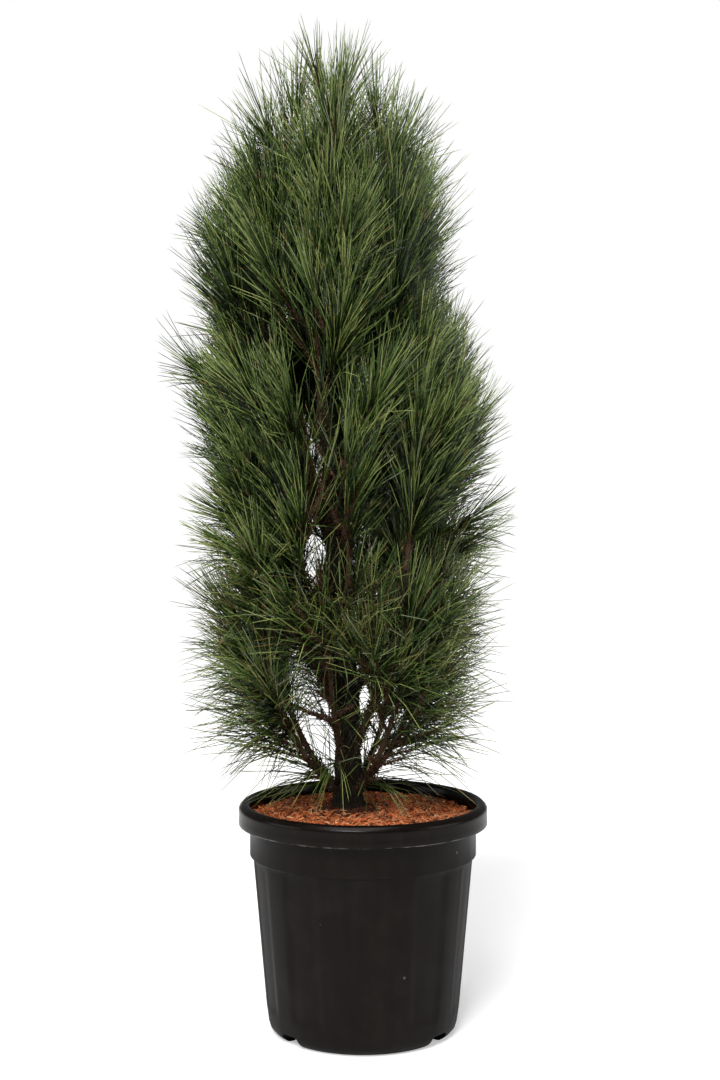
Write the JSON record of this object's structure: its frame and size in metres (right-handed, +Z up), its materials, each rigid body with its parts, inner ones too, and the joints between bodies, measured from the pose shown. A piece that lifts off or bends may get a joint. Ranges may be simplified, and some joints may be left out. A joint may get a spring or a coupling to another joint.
{
  "type": "potted columnar black pine",
  "caption": "Upright, columnar pine with long needles in plumes on steep boughs, in a round black nursery pot topped with bark mulch.",
  "frame": {"origin": "centre of the pot's underside, on the pot's axis, at the level it stands on", "axes": "+Z up along the pot's axis; the front of the plant looks towards -Y, and +X is to its right as seen from there"},
  "size_m": [0.5489, 0.5148, 1.628],
  "materials": {
    "pot": "satin black, moulded",
    "mulch": "loose reddish bark fibre and chips",
    "bark": "rough, scaly grey-brown bark",
    "needles": "satin green needles"
  },
  "bodies": {
    "root": {"bough_high_back_left": "bark", "bough_high_back_right": "bark", "bough_high_front": "bark", "bough_high_left": "bark", "bough_high_right": "bark", "bough_high_right_front": "bark", "bough_low_back": "bark", "bough_low_back_left": "bark", "bough_low_back_right": "bark", "bough_low_front": "bark", "bough_low_left": "bark", "bough_low_right": "bark", "bough_low_right_front": "bark", "bough_mid_back": "bark", "bough_mid_back_left": "bark", "bough_mid_back_right": "bark", "bough_mid_front": "bark", "bough_mid_left": "bark", "bough_mid_left_front": "bark", "bough_mid_right": "bark", "bough_mid_right_front": "bark", "bough_top_back": "bark", "bough_top_front": "bark", "bough_top_left": "bark", "bough_top_right": "bark", "foliage_high_back_left": "needles", "foliage_high_back_right": "needles", "foliage_high_front": "needles", "foliage_high_left": "needles", "foliage_high_right": "needles", "foliage_high_right_front": "needles", "foliage_leader": "needles", "foliage_low_back": "needles", "foliage_low_back_left": "needles", "foliage_low_back_right": "needles", "foliage_low_front": "needles", "foliage_low_left": "needles", "foliage_low_right": "needles", "foliage_low_right_front": "needles", "foliage_mid_back": "needles", "foliage_mid_back_left": "needles", "foliage_mid_back_right": "needles", "foliage_mid_front": "needles", "foliage_mid_left": "needles", "foliage_mid_left_front": "needles", "foliage_mid_right": "needles", "foliage_mid_right_front": "needles", "foliage_top_back": "needles", "foliage_top_front": "needles", "foliage_top_left": "needles", "foliage_top_right": "needles", "pot": "pot", "potting_mix": "mulch", "trunk": "bark"}
  },
  "joints": []
}
